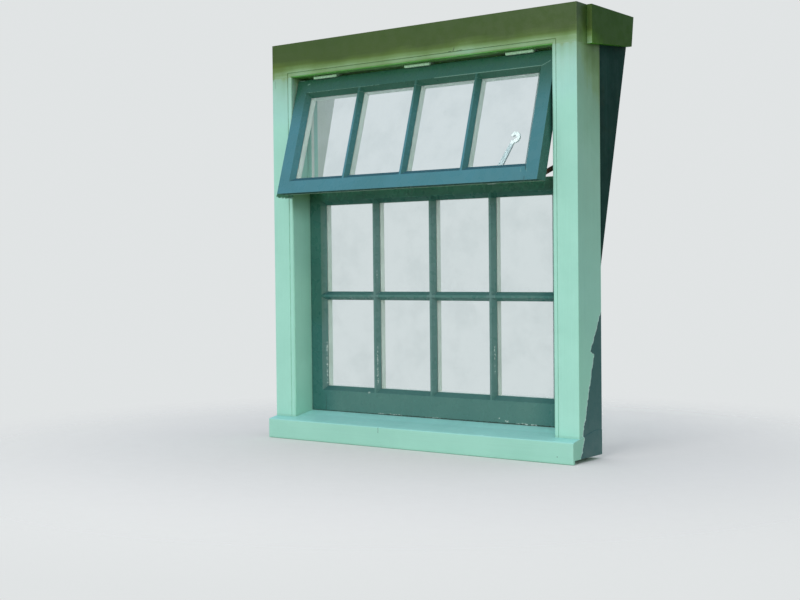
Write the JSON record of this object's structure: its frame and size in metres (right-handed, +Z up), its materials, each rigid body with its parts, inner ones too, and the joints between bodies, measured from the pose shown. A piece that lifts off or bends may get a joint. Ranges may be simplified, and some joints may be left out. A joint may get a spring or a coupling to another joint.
{
  "type": "top-hung window",
  "caption": "Painted timber window in a deep box frame: a barred sash hung at its top edge stands open over a fixed barred sash, with a sloped sill, cheeks and returns.",
  "frame": {"origin": "on the sill's bed, the flat underside that rests on the wall, in the middle of the window and in line with the front of the jambs", "axes": "+X to the right seen from outside, +Y from the front of the frame into the wall, +Z up"},
  "size_m": [1.01, 0.3531, 1.1103],
  "materials": {
    "frame_paint": "pale green gloss paint on planed timber, weathered",
    "sash_paint": "dark green gloss paint on planed timber, white on the room side of the glass",
    "cheek_paint": "very dark green paint on boards",
    "room_paint": "white paint on planed timber",
    "glass": "clear drawn window glass",
    "hinge_paint": "steel butt hinge painted over with the frame's pale green",
    "catch_paint": "white enamel on forged iron",
    "stay_steel": "dark steel, rusty, with a bright worn pin"
  },
  "bodies": {
    "root": {"catch_lever": "catch_paint", "catch_plate": "catch_paint", "head": "frame_paint", "head_stop": "room_paint", "left_cheek": "cheek_paint", "left_hinge_frame_leaf": "hinge_paint", "left_hinge_pin": "hinge_paint", "left_hinge_sash_leaf": "hinge_paint", "left_jamb": "frame_paint", "left_return": "frame_paint", "left_stop": "room_paint", "lower_bar_1": "sash_paint", "lower_bar_2": "sash_paint", "lower_bar_3": "sash_paint", "lower_bottom_rail": "sash_paint", "lower_cross_bar": "sash_paint", "lower_left_stile": "sash_paint", "lower_panes_1": "glass", "lower_panes_2": "glass", "lower_right_stile": "sash_paint", "lower_top_rail": "sash_paint", "middle_hinge_frame_leaf": "hinge_paint", "middle_hinge_pin": "hinge_paint", "middle_hinge_sash_leaf": "hinge_paint", "right_cheek": "cheek_paint", "right_hinge_frame_leaf": "hinge_paint", "right_hinge_pin": "hinge_paint", "right_hinge_sash_leaf": "hinge_paint", "right_jamb": "frame_paint", "right_return": "frame_paint", "right_stop": "room_paint", "sill": "frame_paint", "stay_arm": "stay_steel", "stay_jamb_bracket": "stay_steel", "stay_sash_bracket": "stay_steel", "upper_bar_1": "sash_paint", "upper_bar_2": "sash_paint", "upper_bar_3": "sash_paint", "upper_bottom_rail": "sash_paint", "upper_left_stile": "sash_paint", "upper_panes_1": "glass", "upper_right_stile": "sash_paint", "upper_top_rail": "sash_paint"}
  },
  "joints": []
}
